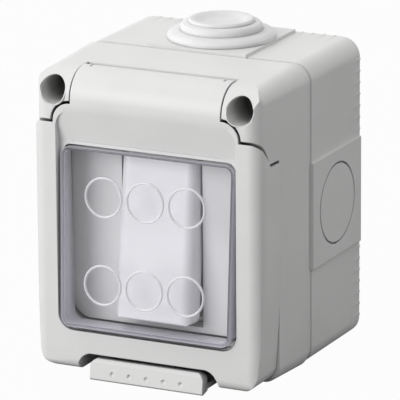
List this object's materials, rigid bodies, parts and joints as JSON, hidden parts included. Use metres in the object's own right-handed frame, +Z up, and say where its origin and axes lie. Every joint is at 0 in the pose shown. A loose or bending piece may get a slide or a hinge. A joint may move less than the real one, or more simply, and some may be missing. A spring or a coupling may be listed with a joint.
{
  "type": "outdoor weatherproof switch",
  "caption": "Surface-mounted weatherproof wall switch: deep box, hinged latched lid with a clear press-through window, one wide rocker and a top cable seal.",
  "frame": {"origin": "middle of the box's back face, in the wall plane", "axes": "+Y into the wall, +Z up, +X to the right seen from the front"},
  "size_m": [0.0676, 0.0627, 0.0892],
  "materials": {
    "shell_plastic": "light grey moulded plastic with a fine satin grain",
    "seal_rubber": "soft black seal",
    "grommet_rubber": "soft pale grey cable seal",
    "plated_steel": "zinc-plated steel",
    "clear_window": "clear flexible plastic with a faint lilac tint",
    "key_plastic": "smooth white plastic",
    "mechanism_plastic": "plain grey moulded plastic",
    "contact_brass": "bright stamped brass"
  },
  "bodies": {
    "housing": {"rear_box": "shell_plastic", "box_seal": "seal_rubber", "cable_grommet": "grommet_rubber", "front_cover": "shell_plastic", "lid_seal": "seal_rubber", "cover_screws": "plated_steel", "latch_pin": "plated_steel", "mounting_frame": "plated_steel", "frame_screws": "plated_steel", "switch_housing_top": "mechanism_plastic", "switch_housing_base": "mechanism_plastic", "common_contact": "contact_brass", "fixed_contact": "contact_brass", "terminal_clamps": "contact_brass", "terminal_screws": "plated_steel"},
    "lid_body": {"lid": "shell_plastic", "window_membrane": "clear_window"},
    "latch_body": {"latch": "shell_plastic"},
    "key_body": {"rocker_key": "key_plastic", "plunger": "key_plastic", "plunger_spring": "plated_steel"},
    "contact_body": {"moving_contact": "contact_brass"}
  },
  "joints": [
    {"name": "lid_hinge", "type": "hinge", "parent": "housing", "child": "lid_body", "pos_m": [0, -0.05315, 0.03825], "axis": [-1, 0, 0], "range_deg": [0, 95]},
    {"name": "latch_pivot", "type": "hinge", "parent": "housing", "child": "latch_body", "pos_m": [0, -0.0452, -0.0389], "axis": [1, 0, 0], "range_deg": [0, 8]},
    {"name": "key_pivot", "type": "hinge", "parent": "housing", "child": "key_body", "pos_m": [0, -0.0492, -0.0039], "axis": [1, 0, 0], "range_deg": [0, 13.2]},
    {"name": "contact_pivot", "type": "hinge", "parent": "housing", "child": "contact_body", "pos_m": [0, -0.0387, -0.0039], "axis": [-1, 0, 0], "range_deg": [0, 10]}
  ],
  "couplings": [
    {"joint": "contact_pivot", "follows": "key_pivot", "ratio": 0.7575}
  ]
}
